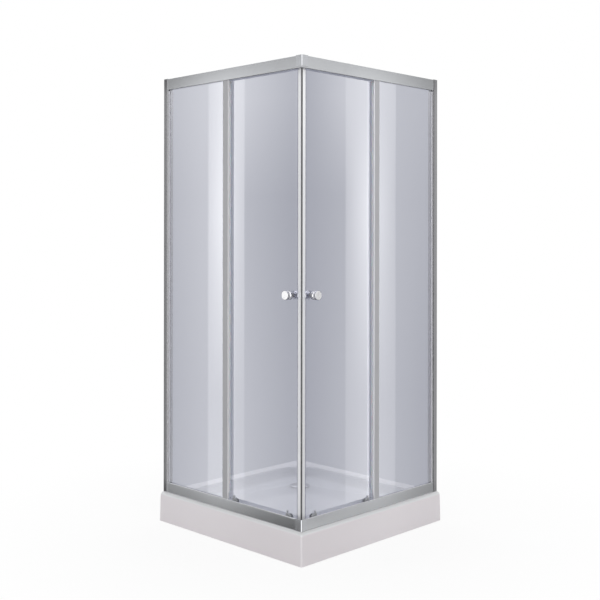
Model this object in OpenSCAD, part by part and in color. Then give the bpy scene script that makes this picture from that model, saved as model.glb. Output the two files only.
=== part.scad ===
// Square corner shower cabin: a tray, two fixed panes and two doors that slide apart from the corner.
// The origin is on the floor under the middle of the tray. The building's walls stand at -X and +Y.
// Each glazed side is drawn once: U runs along it from the front corner, V runs inwards, Z is up.

/* [Overall] */
// Side of the square tray along each wall
tray_w = 900; // [860:10:1000]
// Height from the floor to the top of the frame
total_h = 2000; // [1850:10:2200]
// How far the foot of the tray's skirt stands out of the frame
frame_inset = 22; // [16:1:34]

/* [Tray] */
// Height of the tray's rim above the floor
tray_h = 130; // [125:1:180]
// Thickness of the moulded shell
shell_t = 5; // [3:0.5:6]
// Gap that the silicone joint fills under the skirt
skirt_gap = 2; // [1:0.5:4]
// How far the top of the skirt stands out of the frame
skirt_out = 18; // [14:1:22]
// Rounding where the skirt turns into the rim
rim_round = 15; // [10:1:18]
// Width of the rim around the basin
rim_w = 60; // [54:1:80]
// Radius of the basin's corners in plan
basin_r = 140; // [90:5:180]
// Height of the basin's floor at the drain
drain_z = 62; // [62:1:76]
// Fall of the basin's floor towards the drain
basin_fall = 10; // [4:1:12]
// Fillet between the basin's wall and floor
basin_fillet = 30; // [16:1:34]
// Depth of the lip that is turned down along the building's walls
wall_lip_h = 35; // [20:1:60]

/* [Waste] */
// Distance from each building wall to the drain's centre
drain_inset = 193; // [180:1:240]
// Radius of the loose drain cover
cover_r = 45.5; // [42:0.5:48]
// Radius of the waste's threaded sleeve
sleeve_r = 33; // [30:0.5:34]
// Outer radius of the outlet pipe
outlet_r = 20; // [16:0.5:20]
// Wall of the trap and of the outlet pipe
trap_t = 2.5; // [2:0.5:4]

/* [Support] */
// Thickness of the base board under the drain
board_t = 14; // [10:1:16]
// Side of the square steel leg tubes
tube_w = 25; // [20:1:26]
// Wall of the leg tubes
tube_t = 1.5; // [1:0.25:3]
// Radius of the levelling feet's threaded rods
rod_r = 5; // [4:0.5:6]
// Radius of the foot pads
pad_r = 25; // [18:1:32]

/* [Frame] */
// Depth of the rails, square to the glass
rail_d = 40; // [39:1:50]
// Height of the top rail with its corner cap
top_band_h = 50; // [50:1:60]
// Height of the bottom rail
bottom_band_h = 46; // [46:1:56]
// Wall of the extruded rails
rail_t = 1.6; // [1.2:0.1:2]
// Length of each arm of the corner caps
cap_arm = 33; // [26:1:40]
// Wall of the corner caps
cap_t = 1.5; // [1.5:0.1:2.5]
// Width of the wall profiles
profile_w = 27; // [24:1:36]
// Depth of the wall profiles, square to the glass
profile_d = 30; // [30:1:36]
// Wall of the wall profiles
profile_t = 1.8; // [1.2:0.1:2]
// Width of the jamb that shows beside the wall profile
jamb_show = 7; // [6:1:14]
// Radius of the screw holes in the wall profiles
wall_hole_r = 2.75; // [2:0.25:3.5]
// Distance between the outer screw holes of a wall profile
wall_hole_span = 1500; // [1200:10:1600]
// Distance between the inner screw holes of a wall profile
wall_hole_inner_span = 500; // [200:10:800]
// Width of the strip on the fixed pane's free edge
strip_w = 33; // [28:1:40]

/* [Glass] */
// Thickness of all the panes
glass_t = 5; // [4:0.5:6]
// Width of a door's pane
door_w = 432; // [380:1:436]
// How far a closed door reaches behind the fixed pane's strip
overlap = 30; // [24:1:40]

/* [Doors] */
// Height of the knobs above the floor
knob_z = 1054; // [800:1:1300]
// Radius of the outer knobs
knob_r = 18.5; // [14:0.5:22]
// How far the outer knobs stand out of the glass
knob_reach = 40; // [30:1:44]
// Distance from a door's leading edge to the knob's axis
knob_inset = 36; // [30:1:40]
// Distance from a door's leading edge to its front rollers
roller_front = 46; // [42:1:60]
// Distance from a door's rear edge to its rear rollers
roller_rear = 65; // [40:1:90]
// Outer radius of the top wheels
wheel_r = 11; // [9:0.5:12]
// Width of the top wheels
wheel_w = 6; // [5:0.5:7]
// Outer radius of the bottom wheels
guide_wheel_r = 8; // [7:0.5:8.5]
// Width of the bottom wheels
guide_wheel_w = 5.6; // [5:0.1:5.8]
// How far a release button travels
release_travel = 4.5; // [3:0.5:5]

/* [Hidden] */
$fn = 64;

// Clearances: between seated pieces, along sliding pieces, and in round running fits
seat_gap = 0.3;
slide_gap = 0.1;
run_gap = 0.05;
// Cuts run past the faces that they open by this much
over = 1;

// Plan of the frame
half_w = tray_w/2;
frame_x = half_w - frame_inset;
side_len = half_w + frame_x;
profile_u = side_len - profile_w;
jamb_u = profile_u - jamb_show;

// Heights of the frame
rail_top_z = total_h - cap_t;
top_under_z = total_h - top_band_h;
bottom_top_z = tray_h + bottom_band_h;
shelf_z = top_under_z + 10;
shelf_top_z = shelf_z + rail_t;

// Places across a side, from the outer face inwards
pane_gap = 3.9;
fixed_v0 = rail_t + pane_gap;
fixed_v1 = fixed_v0 + glass_t;
lip_t = 1.4;
lip_v0 = fixed_v1 + seat_gap;
lip_v1 = lip_v0 + lip_t;
housing_d = 8.1;
housing_gap = 0.6;
housing_v0 = lip_v1 + housing_gap;
housing_v1 = housing_v0 + housing_d;
door_v0 = housing_v1 + slide_gap;
door_v1 = door_v0 + glass_t;

// Places along a side
door_u0 = 40;
door_u1 = door_u0 + door_w;
strip_u = door_u1 - overlap;
front_u = door_u0 + roller_front;
rear_u = door_u1 - roller_rear;
knob_u = door_u0 + knob_inset;
knob_stop_gap = 2.5;
end_arm_len = 17;
end_arm_u = jamb_u - end_arm_len;
end_gap = 2;
// A door stops where its knob would meet the strip, or its pane the end block in the rail
travel = min(strip_u - knob_stop_gap - knob_r - knob_u, end_arm_u - end_gap - door_u1);
door_z0 = tray_h + 15;
door_z1 = rail_top_z - rail_t - 5;

// Top rollers: the groove in each wheel rides on a ridge of the top rail's shelf
hanger_plate_t = 2.5;
wheel_gap = 0.4;
ridge_v = housing_v1 - hanger_plate_t - wheel_gap - wheel_w/2;
ridge_w = 2;
ridge_h = 5.4;
groove_depth = 1;
wheel_groove_r = wheel_r - groove_depth;
axle_z = shelf_top_z + ridge_h + run_gap + wheel_groove_r;
axle_r = 2.5;
hanger_hole_r = 6;
hanger_plate_r = 12;
hanger_cap_r = 13;

// Bottom rollers: each wheel runs under a bead of the bottom rail's lip
slider_t = 3.9;
slider_v1 = housing_v1 - seat_gap;
slider_v0 = slider_v1 - slider_t;
guide_wheel_v1 = slider_v0 - seat_gap;
guide_v = guide_wheel_v1 - guide_wheel_w/2;
guide_shelf_z = bottom_top_z - 21;
bead_w = 1.6;
bead_h = 2.9;
guide_axle_r = 2;
guide_axle_z = guide_shelf_z - bead_h - run_gap - (guide_wheel_r - groove_depth);
slot_floor_z = bottom_top_z - 10;
housing_z0 = guide_shelf_z + rail_t + 0.8;
boss_r = 4;
boss_u = -5;
boss_z = bottom_top_z - 2;

// Tray levels
floor_edge_z = drain_z + basin_fall;
under_z = drain_z - shell_t;
board_z0 = under_z - board_t;
tube_z0 = board_z0 - tube_w;
drain_x = -half_w + drain_inset;
drain_y = half_w - drain_inset;
drain_seat_r = cover_r + 5;
rim_inner_r = 8;
corner_steps = 10;
arc_steps = 4;

// Leg tubes as [start x, end x, y] and feet as [x, y]; the last tube stops short of the outlet pipe
tube_end_inset = 100;
tube_front_inset = 148;
tube_back_inset = 115;
foot_inset = 30;
tube_end_x = frame_x - tube_end_inset;
tube_front_y = -(frame_x - tube_front_inset);
tube_back_y = half_w - tube_back_inset;
foot_x = tube_end_x - foot_inset;
outlet_side_gap = 42;
tubes = [[-tube_end_x, tube_end_x, tube_front_y], [-tube_end_x, tube_end_x, 0],
    [drain_x + outlet_side_gap, tube_end_x, tube_back_y]];
feet = [[-foot_x, tube_front_y], [foot_x, tube_front_y], [0, 0],
    [drain_x + outlet_side_gap + pad_r, tube_back_y], [foot_x, tube_back_y]];

// Trap levels and lengths, measured from the drain's axis towards the back wall
trap_r = 50;
trap_z0 = 4;
gasket_t = 3;
trap_top_z = under_z - gasket_t;
outlet_z = trap_z0 + outlet_r + 6;
boss_len = 78;
socket_start = 56;
nut_r = outlet_r + 7.5;
outlet_end = drain_inset - 20;

// Screws that hold the frame together
screw_r = 1.9;
screw_head_r = 3.6;
screw_u = jamb_u - 4;
top_screw_z = rail_top_z - 12;
bottom_screw_z = tray_h + 5.4;
jamb_screw_u = profile_u + 11;
jamb_screw_inset = 290;
jamb_screw_z = [tray_h + jamb_screw_inset, (tray_h + total_h)/2, total_h - jamb_screw_inset];
bracket_arm = 60;
bracket_v0 = rail_t + 0.2;
bracket_v1 = bracket_v0 + 7;
bracket_screw_u = 48;
bracket_screw_z = [tray_h + 18, rail_top_z - 15];

// Places a side drawn in U and V on the cabin's left, or its mirror image on the right
module on_left() {
    translate([frame_x, -frame_x, 0]) mirror([1, 0, 0]) children();
}

module on_right() {
    mirror([1, 1, 0]) on_left() children();
}

module on_both() {
    on_left() children();
    on_right() children();
}

// Extrudes a section drawn in V and Z along U
module along_u(u0, u1) {
    translate([u0, 0, 0]) rotate([90, 0, 90]) linear_extrude(u1 - u0) children();
}

// Extrudes a section drawn in U and Z along V
module along_v(v0, v1) {
    translate([0, v1, 0]) rotate([90, 0, 0]) linear_extrude(v1 - v0) children();
}

// Extrudes a section drawn in U and V upwards
module upright(z0, z1) {
    translate([0, 0, z0]) linear_extrude(z1 - z0) children();
}

// Turns a section drawn in radius and V about an axis along V
module about_v(u, z) {
    translate([u, 0, z]) rotate([-90, 0, 0]) rotate_extrude() children();
}

module rod_v(u, z, r, v0, v1) {
    translate([u, v0, z]) rotate([-90, 0, 0]) cylinder(r = r, h = v1 - v0);
}

module rect(a0, a1, b0, b1) {
    translate([a0, b0]) square([a1 - a0, b1 - b0]);
}

module block(u0, u1, v0, v1, z0, z1) {
    translate([u0, v0, z0]) cube([u1 - u0, v1 - v0, z1 - z0]);
}

// Cuts a square corner at the origin, towards +X and +Y, to a radius
module corner_cut(r) {
    difference() {
        translate([-over, -over]) square(r + over);
        translate([r, r]) circle(r);
    }
}

// Tray

function quarter(cx, cy, r, start) =
    [for (i = [0:corner_steps]) [cx + r*cos(start + 90*i/corner_steps),
        cy + r*sin(start + 90*i/corner_steps)]];

// A rounded rectangle as a ring of points at one height; its front corner has a radius of its own
function ring(x0, x1, y0, y1, r, front_r, z) =
    [for (p = concat(quarter(x1 - r, y1 - r, r, 0), quarter(x0 + r, y1 - r, r, 90),
        quarter(x0 + r, y0 + r, r, 180), quarter(x1 - front_r, y0 + front_r, front_r, 270)))
        [p[0], p[1], z]];

// A solid through rings that have as many points each, from the lowest to the highest
module loft(rings) {
    n = len(rings[0]);
    last = len(rings) - 1;
    sides = [for (k = [0:last - 1], i = [0:n - 1], half = [0, 1])
        let(a = k*n + i, b = k*n + (i + 1) % n, c = b + n, d = a + n)
        half == 0 ? [a, d, c] : [a, c, b]];
    caps = [[for (i = [0:n - 1]) i], [for (i = [n - 1:-1:0]) last*n + i]];
    polyhedron(points = [for (r = rings) each r], faces = concat(sides, caps));
}

// How far the skirt stands out of the frame at a height below its rounding
function skirt_at(z) =
    frame_inset + (skirt_out - frame_inset)*(z - skirt_gap)/(tray_h - rim_round - skirt_gap);

function body_ring(out, inset, z) =
    ring(-half_w + inset, frame_x + out - inset, -frame_x - out + inset, half_w - inset, 3, 8, z);

module tray_body() {
    loft(concat([body_ring(skirt_at(skirt_gap), 0, skirt_gap)],
        [for (i = [0:arc_steps]) let(a = 90*i/arc_steps)
            body_ring(skirt_out*cos(a), 0, tray_h - rim_round + rim_round*sin(a))]));
}

module tray_hollow() {
    loft([body_ring(skirt_at(-over), shell_t, -over),
        body_ring(skirt_out, shell_t, tray_h - rim_round),
        body_ring(skirt_out/2, shell_t, tray_h - shell_t)]);
}

// A ring of the basin, drawn in from the rim's inner edge; grow swells it for the shell's underside
function basin_ring(inset, grow, z) =
    ring(-half_w + rim_w + inset - grow, frame_x - rim_w - inset + grow,
        -frame_x + rim_w + inset - grow, half_w - rim_w - inset + grow,
        basin_r - inset + grow, basin_r - inset + grow, z);

function drain_ring(r, z) =
    ring(drain_x - r, drain_x + r, drain_y - r, drain_y + r, r - 0.1, r - 0.1, z);

// The basin's space; grown and lowered by the shell's thickness it is the underside of the shell
module basin_space(grow) {
    slope = 0.1;
    wall_top = tray_h - rim_inner_r;
    loft(concat([drain_ring(drain_seat_r + grow, drain_z - grow)],
        [for (i = [0:arc_steps]) let(a = 90*i/arc_steps, z = floor_edge_z + basin_fillet*(1 - cos(a)))
            basin_ring(basin_fillet*(1 - sin(a)) + slope*(wall_top - z), grow, z - grow)],
        [for (i = [0:arc_steps]) let(a = 90*i/arc_steps)
            basin_ring(-rim_inner_r*(1 - cos(a)), grow, wall_top + rim_inner_r*sin(a) - grow)],
        [basin_ring(-rim_inner_r, grow, tray_h + over - grow)]));
}

module tray_shell() {
    lip_z = tray_h - wall_lip_h;
    reach = side_len + over;
    color("whitesmoke") difference() {
        tray_body();
        difference() {
            tray_hollow();
            basin_space(shell_t);
        }
        basin_space(0);
        translate([drain_x, drain_y, 0]) cylinder(r = sleeve_r + 1, h = tray_h);
        // Along the building's walls the shell only has a short lip
        translate([-half_w - over, -frame_x, -over]) cube([2*shell_t, reach, lip_z + over]);
        translate([-half_w - over, half_w - 2*shell_t + over, -over]) cube([reach, 2*shell_t, lip_z + over]);
    }
}

module base_board() {
    edge = rim_w + basin_fillet + 10;
    pipe_cut = 2*nut_r + 12;
    color("burlywood") difference() {
        translate([-half_w + edge, -frame_x + edge, board_z0])
            cube([side_len - 2*edge, side_len - 2*edge, floor_edge_z - board_z0]);
        translate([0, 0, -seat_gap]) basin_space(shell_t);
        translate([drain_x, drain_y, 0]) cylinder(r = trap_r + 12, h = tray_h);
        translate([drain_x - pipe_cut/2, drain_y, 0]) cube([pipe_cut, drain_inset, tray_h]);
    }
}

module leg_tubes() {
    color("silver") for (t = tubes) difference() {
        translate([t[0], t[2] - tube_w/2, tube_z0]) cube([t[1] - t[0], tube_w, tube_w]);
        translate([t[0] - over, t[2] - tube_w/2 + tube_t, tube_z0 + tube_t])
            cube([t[1] - t[0] + 2*over, tube_w - 2*tube_t, tube_w - 2*tube_t]);
        for (f = feet) if (f[1] == t[2])
            translate([f[0], f[1], tube_z0 - over]) cylinder(r = rod_r + 0.2, h = tube_t + 2*over);
    }
}

pad_h = 8;
pad_floor = 3;

module levelling_feet() {
    nut_h = 5;
    color("lightgray") for (f = feet) translate([f[0], f[1], 0]) {
        translate([0, 0, pad_floor + seat_gap]) cylinder(r = rod_r, h = tube_z0 + tube_w - 7 - pad_floor);
        difference() {
            translate([0, 0, tube_z0 - nut_h - 0.1]) cylinder(r = rod_r*1.8, h = nut_h, $fn = 6);
            translate([0, 0, tube_z0 - nut_h - over]) cylinder(r = rod_r - 0.2, h = nut_h + 2*over);
        }
    }
}

module foot_pads() {
    color("dimgray") for (f = feet) translate([f[0], f[1], 0]) rotate_extrude()
        polygon([[0, 0], [pad_r, 0], [pad_r, 2], [pad_r - 3, 4], [rod_r + 5, 5], [rod_r + 4, pad_h],
            [rod_r + 0.1, pad_h], [rod_r + 0.1, pad_floor], [0, pad_floor]]);
}

module waste_flange() {
    bore_r = sleeve_r - 4;
    color("silver") translate([drain_x, drain_y, 0]) rotate_extrude()
        polygon([[bore_r, trap_top_z - 6], [sleeve_r, trap_top_z - 6], [sleeve_r, drain_z],
            [cover_r - 1, drain_z], [cover_r - 2, drain_z + 1.6], [bore_r + 2, drain_z + 2.5],
            [bore_r, drain_z + 1.5]]);
}

module waste_gasket() {
    color("black") translate([drain_x, drain_y, trap_top_z]) difference() {
        cylinder(r = trap_r - 1, h = gasket_t);
        translate([0, 0, -over]) cylinder(r = sleeve_r + 1.5, h = gasket_t + 2*over);
    }
}

module along_outlet(y0, y1, r) {
    translate([drain_x, drain_y + y0, outlet_z]) rotate([-90, 0, 0]) cylinder(r = r, h = y1 - y0);
}

module trap_body() {
    neck_r = sleeve_r + 0.3;
    socket_r = outlet_r + 0.3;
    color("white") difference() {
        union() {
            translate([drain_x, drain_y, 0]) rotate_extrude()
                polygon([[0, trap_z0], [trap_r - 8, trap_z0], [trap_r, trap_z0 + 8],
                    [trap_r, trap_top_z - 7], [trap_r - 1, trap_top_z - 4], [trap_r - 1, trap_top_z],
                    [0, trap_top_z]]);
            along_outlet(trap_r - 8, boss_len, socket_r + trap_t);
        }
        translate([drain_x, drain_y, 0]) rotate_extrude()
            polygon([[0, trap_z0 + trap_t], [trap_r - 8 - trap_t/2, trap_z0 + trap_t],
                [trap_r - trap_t, trap_z0 + 8 + trap_t/2], [trap_r - trap_t, trap_top_z - 9],
                [trap_r - trap_t - 2, trap_top_z - 7], [neck_r, trap_top_z - 7],
                [neck_r, trap_top_z + over], [0, trap_top_z + over]]);
        along_outlet(trap_r - 12, boss_len + over, outlet_r - trap_t);
        along_outlet(socket_start, boss_len + over, socket_r);
    }
}

module trap_nut() {
    grips = 12;
    thread_r = outlet_r + trap_t + 0.6;
    color("white") difference() {
        along_outlet(boss_len - 14, boss_len + 4, nut_r);
        along_outlet(boss_len - 14 - over, boss_len + 0.3, thread_r);
        along_outlet(boss_len - over, boss_len + 4 + over, outlet_r + 0.3);
        for (i = [0:grips - 1]) translate([drain_x, drain_y, outlet_z]) rotate([0, 360*i/grips, 0])
            translate([nut_r + 1.6, boss_len - 14 - over, 0]) rotate([-90, 0, 0])
                cylinder(r = 2.6, h = 18 + 2*over);
    }
}

// The end that stands in the trap's socket is drawn in a little
module outlet_pipe() {
    shoulder = boss_len + 5;
    color("white") difference() {
        union() {
            along_outlet(socket_start + seat_gap, shoulder + over, outlet_r - seat_gap);
            along_outlet(shoulder, outlet_end, outlet_r);
        }
        along_outlet(socket_start, outlet_end + over, outlet_r - trap_t);
    }
}

// The cover stands on three fins that drop into the waste's sleeve
module drain_cover() {
    rest_z = drain_z + 2.5 + seat_gap;
    rim_z = rest_z + 2.5;
    fin_r = sleeve_r - 4 - 1;
    color("gray") translate([drain_x, drain_y, 0]) union() {
        rotate_extrude() polygon(concat(
            [[0, rim_z + 2.6], [cover_r - 8, rim_z + 1.4], [cover_r - 3, rim_z], [cover_r, rim_z]],
            [for (i = [0:6]) [cover_r*cos(90*i/6), rim_z + 1.2 + 3.8*sin(90*i/6)]]));
        for (i = [0:2]) rotate([0, 0, 120*i]) {
            translate([0, -1, rest_z - 14]) cube([fin_r, 2, rim_z + 3 - rest_z + 14]);
            translate([0, -1, rest_z]) cube([cover_r - 10, 2, rim_z + 3 - rest_z]);
        }
    }
}

// Frame

module wall_profile() {
    v_mid = profile_d/2;
    mid_z = (tray_h + rail_top_z)/2;
    edge_w = 5;
    edge_slant = profile_t/2;
    color("darkgray") difference() {
        upright(tray_h, rail_top_z) difference() {
            rect(profile_u, side_len, 0, profile_d);
            rect(profile_u - over, side_len - profile_t, profile_t, profile_d - profile_t);
            polygon([[profile_u - over, -over], [profile_u + edge_w, -over], [profile_u + edge_w, 0],
                [profile_u, edge_slant], [profile_u - over, edge_slant]]);
        }
        for (dz = [-wall_hole_span/2, -wall_hole_inner_span/2, wall_hole_inner_span/2, wall_hole_span/2])
            translate([side_len - profile_t - over, v_mid, mid_z + dz]) rotate([0, 90, 0])
                cylinder(r = wall_hole_r, h = profile_t + 2*over);
        for (z = jamb_screw_z)
            rod_v(jamb_screw_u, z, screw_r + 0.1, profile_d - profile_t - over, profile_d + over);
    }
}

jamb_t = 1.5;
jamb_foot_h = 5;
jamb_top_z = top_under_z - jamb_foot_h - 0.2;
jamb_v0 = profile_t + seat_gap;
jamb_v1 = profile_d - profile_t - seat_gap;
jamb_u1 = side_len - 6;
gasket_space = 1.9;
pocket_v0 = fixed_v0 - gasket_space;
pocket_v1 = fixed_v1 + gasket_space;
pocket_u = jamb_u + 10;

module jamb() {
    color("silver") difference() {
        upright(bottom_top_z + 0.2, jamb_top_z) difference() {
            rect(jamb_u, jamb_u1, jamb_v0, jamb_v1);
            rect(jamb_u - over, pocket_u, pocket_v0, pocket_v1);
            rect(pocket_u + jamb_t, jamb_u1 - jamb_t, jamb_v0 + jamb_t, jamb_v1 - jamb_t);
            rect(jamb_u + jamb_t, pocket_u - jamb_t, pocket_v1 + jamb_t, jamb_v1 - jamb_t);
        }
        for (z = jamb_screw_z) rod_v(jamb_screw_u, z, screw_r + 0.1, jamb_v1 - jamb_t - over, jamb_v1 + over);
    }
}

// Keeps the side of the corner's mitre that belongs to this rail
module mitred() {
    difference() {
        children();
        translate([0.1, 0, 0]) linear_extrude(total_h + over)
            polygon([[-over, -over], [rail_d + over, rail_d + over], [-over, rail_d + over]]);
    }
}

module top_rail() {
    inner_wall_h = 24;
    color("silver") difference() {
        mitred() along_u(0, profile_u - 0.2) difference() {
            union() {
                rect(0, rail_t, top_under_z, rail_top_z);
                rect(0, rail_d, rail_top_z - rail_t, rail_top_z);
                rect(rail_d - rail_t, rail_d, rail_top_z - inner_wall_h, rail_top_z);
                rect(0, ridge_v + ridge_w, shelf_z, shelf_top_z);
                rect(ridge_v - ridge_w/2, ridge_v + ridge_w/2, shelf_z, shelf_top_z + ridge_h);
                rect(lip_v0, lip_v1, top_under_z, shelf_top_z);
            }
            translate([0, rail_top_z]) mirror([0, 1]) corner_cut(1.2);
            translate([rail_d, rail_top_z]) mirror([1, 0]) mirror([0, 1]) corner_cut(1.2);
        }
        rod_v(screw_u, top_screw_z, screw_r + 0.1, rail_d - rail_t - over, rail_d + over);
    }
}

module bottom_rail() {
    inner_lip_h = 11;
    water_drop = 4;
    edge_w = 3.6;
    edge_h = 4;
    color("silver") difference() {
        mitred() along_u(0, profile_u - 0.2) difference() {
            union() {
                rect(0, rail_t, tray_h, bottom_top_z);
                rect(0, edge_w, bottom_top_z - edge_h, bottom_top_z);
                rect(0, rail_d, tray_h, tray_h + rail_t);
                rect(rail_d - rail_t, rail_d, tray_h, tray_h + inner_lip_h);
                rect(0, lip_v1, slot_floor_z, slot_floor_z + rail_t);
                rect(lip_v0, lip_v1, guide_shelf_z, bottom_top_z - water_drop);
                rect(lip_v0, guide_v + bead_w/2, guide_shelf_z, guide_shelf_z + rail_t);
                rect(guide_v - bead_w/2, guide_v + bead_w/2, guide_shelf_z - bead_h, guide_shelf_z + rail_t);
            }
            translate([0, bottom_top_z]) mirror([0, 1]) corner_cut(3.2);
        }
        rod_v(screw_u, bottom_screw_z, screw_r + 0.1, rail_d - rail_t - over, rail_d + over);
    }
}

// Both arms of a corner cap in plan, on the outside of the rails
module cap_plan(inner) {
    round = 3.5;
    on_left() difference() {
        rect(-cap_t, cap_arm, -cap_t, cap_arm);
        rect(inner, cap_arm + over, inner, cap_arm + over);
        translate([-cap_t, -cap_t]) corner_cut(round);
    }
}

module top_corner_cap() {
    cap_h = top_band_h - 5;
    color("silver") union() {
        upright(total_h - cap_h, total_h) cap_plan(0);
        upright(rail_top_z, total_h) cap_plan(cap_arm - over);
    }
}

module bottom_corner_cap() {
    color("silver") union() {
        upright(tray_h + 0.2, bottom_top_z + cap_t) cap_plan(0);
        upright(bottom_top_z, bottom_top_z + cap_t) cap_plan(rail_t);
    }
}

module corner_brackets() {
    levels = [[tray_h + rail_t + 0.2, slot_floor_z - 0.2], [shelf_top_z + 0.2, rail_top_z - rail_t - 0.2]];
    color("dimgray") for (z = levels) on_left() difference() {
        upright(z[0], z[1]) polygon([[bracket_v0, bracket_v0], [bracket_arm, bracket_v0],
            [bracket_arm, bracket_v1], [bracket_v1 + 3, bracket_v1], [bracket_v1, bracket_v1 + 3],
            [bracket_v1, bracket_arm], [bracket_v0, bracket_arm]]);
        for (s = bracket_screw_z) {
            rod_v(bracket_screw_u, s, screw_r + 0.1, 0, bracket_v1 + over);
            mirror([1, -1, 0]) rod_v(bracket_screw_u, s, screw_r + 0.1, 0, bracket_v1 + over);
        }
    }
}

// Moulded plugs that join each rail's end to the jamb and fill the wall profile beside it; the upper
// ones have a foot that shows between jamb and rail
module end_block(z0, z1, arm_z0, arm_z1, spigot_z0, spigot_z1) {
    arm_v0 = 18;
    arm_v1 = rail_d - rail_t - 0.2;
    difference() {
        union() {
            block(profile_u - 0.2, side_len - profile_t - 0.4, jamb_v0, jamb_v1, z0, z1);
            block(end_arm_u, profile_u, arm_v0, jamb_v1, arm_z0, arm_z1);
            block(end_arm_u, profile_u - 2, jamb_v1, arm_v1, arm_z0, arm_z1);
            block(pocket_u + jamb_t + 0.4, jamb_u1 - jamb_t - 0.4, jamb_v0 + jamb_t + 0.4,
                jamb_v1 - jamb_t - 0.4, spigot_z0, spigot_z1);
        }
        rod_v(screw_u, (arm_z0 + arm_z1)/2, screw_r + 0.1, arm_v0 - over, arm_v1 + over);
    }
}

module rail_end_blocks() {
    spigot = 28;
    inner_top = rail_top_z - rail_t - 0.2;
    inner_bottom = tray_h + rail_t + 0.2;
    color("dimgray") on_both() {
        end_block(tray_h + 0.2, bottom_top_z, inner_bottom, 2*bottom_screw_z - inner_bottom,
            bottom_top_z - over, bottom_top_z + spigot);
        end_block(top_under_z - jamb_foot_h, inner_top, 2*top_screw_z - inner_top, inner_top,
            top_under_z - spigot, top_under_z + over);
        block(jamb_u + 0.2, profile_u, jamb_v0, pocket_v0, top_under_z - jamb_foot_h, top_under_z - 0.2);
    }
}

module profile_caps() {
    color("dimgray") on_both() difference() {
        block(profile_u, side_len, 0, profile_d, rail_top_z, total_h);
        translate([profile_u, 0, 0]) upright(rail_top_z - over, total_h + over) corner_cut(1);
    }
}

module fixed_glass() {
    glass_u0 = strip_u + 17;
    glass_u1 = pocket_u - 3.2;
    color("lightsteelblue", 0.5)
        block(glass_u0, glass_u1, fixed_v0, fixed_v1, slot_floor_z + rail_t + 0.4, shelf_z - 2);
}

// Holds the fixed pane's free edge and carries the seal that wipes the door
module strip_profile() {
    wall = 1.6;
    play = 0.2;
    v0 = fixed_v0 - play - wall;
    v1 = fixed_v1 + play + wall;
    pocket = strip_u + 16;
    color("silver") upright(bottom_top_z, top_under_z) difference() {
        rect(strip_u, strip_u + strip_w, v0, v1);
        rect(pocket, strip_u + strip_w + over, fixed_v0 - play, fixed_v1 + play);
        rect(strip_u + wall, pocket - wall, fixed_v0 - play, fixed_v1 + play);
        rect(strip_u + 5, strip_u + 9, fixed_v1, v1 + over);
        translate([strip_u, v0]) corner_cut(1.2);
    }
}

// A root in the strip's chamber, a neck through its slot and a fin that nearly meets the door
module strip_seals() {
    seal_z0 = bottom_top_z + 27;
    seal_z1 = top_under_z - 2;
    root_v1 = fixed_v1;
    fin_v = door_v0 - seat_gap;
    u = strip_u + 7;
    color("gainsboro") on_both() upright(seal_z0, seal_z1)
        polygon([[u - 4, root_v1 - 1.6], [u + 4, root_v1 - 1.6], [u + 4, root_v1], [u + 1.6, root_v1],
            [u + 1.6, root_v1 + 2.6], [u - 1, root_v1 + 5], [u - 4, fin_v], [u - 5, fin_v],
            [u - 2.4, root_v1 + 4], [u - 1.6, root_v1 + 2.6], [u - 1.6, root_v1], [u - 4, root_v1]]);
}

module glass_gaskets() {
    lap = 4;
    skin = 0.2;
    glass_u1 = pocket_u - 3.2;
    color("dimgray") on_both() upright(bottom_top_z + 0.5, jamb_top_z - 0.3) difference() {
        rect(jamb_u - lap, pocket_u - 0.2, pocket_v0 + skin, pocket_v1 - skin);
        rect(jamb_u - lap - over, glass_u1 + 0.2, fixed_v0 - 0.1, fixed_v1 + 0.1);
        translate([jamb_u - lap, pocket_v0 + skin]) corner_cut(1);
    }
}

// Rubber blocks over the ridge that stop the wheels at both ends of the travel
module rail_stops() {
    stop_len = 12;
    play = 0.5;
    top = axle_z + 7;
    closed_u = front_u - wheel_r - play - stop_len;
    open_u = rear_u + travel + wheel_r + play;
    color("black") on_both() for (u = [closed_u, open_u]) along_u(u, u + stop_len) difference() {
        rect(ridge_v - 3.4, ridge_v + 2.8, shelf_top_z, top);
        rect(ridge_v - ridge_w/2 - 0.1, ridge_v + ridge_w/2 + 0.1, shelf_top_z - over,
            shelf_top_z + ridge_h + 0.1);
    }
}

// A pan head screw with a hexagonal recess; its shank points down from the origin
module screw(shank) {
    difference() {
        rotate_extrude() polygon([[0, -shank], [screw_r, -shank], [screw_r, 0], [screw_head_r, 0],
            [screw_head_r, 0.9], [screw_head_r*0.7, 1.9], [0, 2.2]]);
        translate([0, 0, 1]) cylinder(r = 1.4, h = 2, $fn = 6);
    }
}

module screw_v(u, v, z, shank) {
    translate([u, v, z]) rotate([-90, 0, 0]) screw(shank);
}

module frame_screws() {
    color("lightgray") on_both() {
        screw_v(screw_u, rail_d, top_screw_z, 14);
        screw_v(screw_u, rail_d, bottom_screw_z, 14);
        for (z = jamb_screw_z) screw_v(jamb_screw_u, profile_d, z, 8);
        for (z = bracket_screw_z) screw_v(bracket_screw_u, bracket_v1, z, bracket_v1 - rail_t - 0.1);
    }
}

// Doors

module door_glass() {
    color("lightsteelblue", 0.5) difference() {
        block(door_u0, door_u1, door_v0, door_v1, door_z0, door_z1);
        for (u = [front_u, rear_u]) {
            rod_v(u, axle_z, hanger_hole_r, door_v0 - over, door_v1 + over);
            rod_v(u + boss_u, boss_z, boss_r + seat_gap, door_v0 - over, door_v1 + over);
        }
        rod_v(knob_u, knob_z, 5, door_v0 - over, door_v1 + over);
    }
}

clip_t = 1.5;
clip_v0 = door_v0 - slide_gap - clip_t;
clip_v1 = door_v1 + slide_gap + clip_t;
magnet_w = 4.5;

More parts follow.
